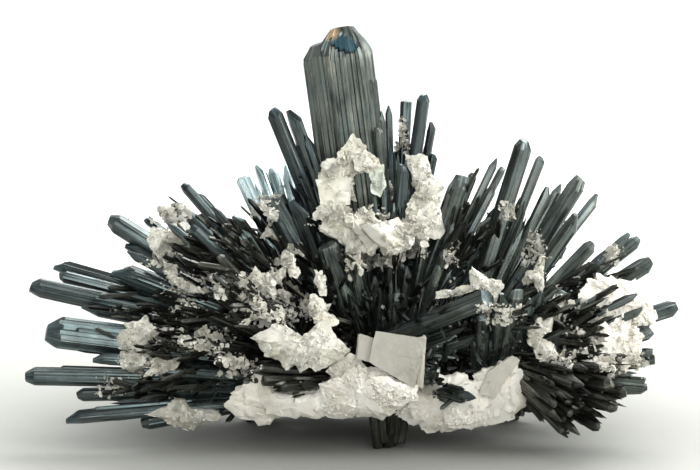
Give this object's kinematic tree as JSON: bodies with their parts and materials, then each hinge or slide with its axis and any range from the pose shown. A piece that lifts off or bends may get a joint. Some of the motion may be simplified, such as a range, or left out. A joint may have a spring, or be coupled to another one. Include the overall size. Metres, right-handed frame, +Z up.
{
  "type": "stibnite crystal specimen",
  "caption": "Spray of striated grey stibnite prisms radiating from a dark root mass, crusted with white baryte plates; stands on its own as a display piece.",
  "frame": {"origin": "on the table under the middle of the specimen's footprint box", "axes": "+Z up, the broad display side faces -Y, +X to the right as seen from that side"},
  "size_m": [0.1292, 0.0706, 0.081],
  "materials": {
    "stibnite": "metallic dark blue-grey with fine lengthwise striations and brighter end faces",
    "baryte": "pearly warm white plates with sugary patches and thin bright edges",
    "root_rock": "near-black, finely intergrown crystals with dull and glinting spots"
  },
  "bodies": {
    "root": {"back_crown_fan": "stibnite", "back_high_right_fan": "stibnite", "back_left_blades": "stibnite", "back_left_fan": "stibnite", "back_middle_fan": "stibnite", "back_right_fan": "stibnite", "baryte_back_base": "baryte", "baryte_back_crown": "baryte", "baryte_back_left": "baryte", "baryte_back_right": "baryte", "baryte_base_left": "baryte", "baryte_base_right": "baryte", "baryte_behind_crown": "baryte", "baryte_collar": "baryte", "baryte_crown": "baryte", "baryte_left_crust": "baryte", "baryte_left_foot": "baryte", "baryte_left_lump": "baryte", "baryte_left_plate": "baryte", "baryte_left_strip": "baryte", "baryte_left_upper": "baryte", "baryte_middle": "baryte", "baryte_right_blades": "baryte", "baryte_right_cluster": "baryte", "baryte_right_sliver": "baryte", "baryte_right_wall": "baryte", "baryte_shoulder": "baryte", "baryte_tile": "baryte", "baryte_upper_left": "baryte", "crown_blade": "stibnite", "crown_front_prisms": "stibnite", "crown_left_prisms": "stibnite", "crown_right_prisms": "stibnite", "front_low_prism": "stibnite", "front_right_blades": "stibnite", "front_right_prism": "stibnite", "heart_prisms": "stibnite", "left_high_prisms": "stibnite", "left_inner_prisms": "stibnite", "left_long_prisms": "stibnite", "left_stout_prism": "stibnite", "lower_left_prisms": "stibnite", "lower_right_tuft": "stibnite", "right_back_fan": "stibnite", "right_block_prisms": "stibnite", "right_low_prisms": "stibnite", "right_prisms": "stibnite", "root_mass": "root_rock", "upper_left_prisms": "stibnite", "upper_right_prisms": "stibnite"}
  },
  "joints": []
}
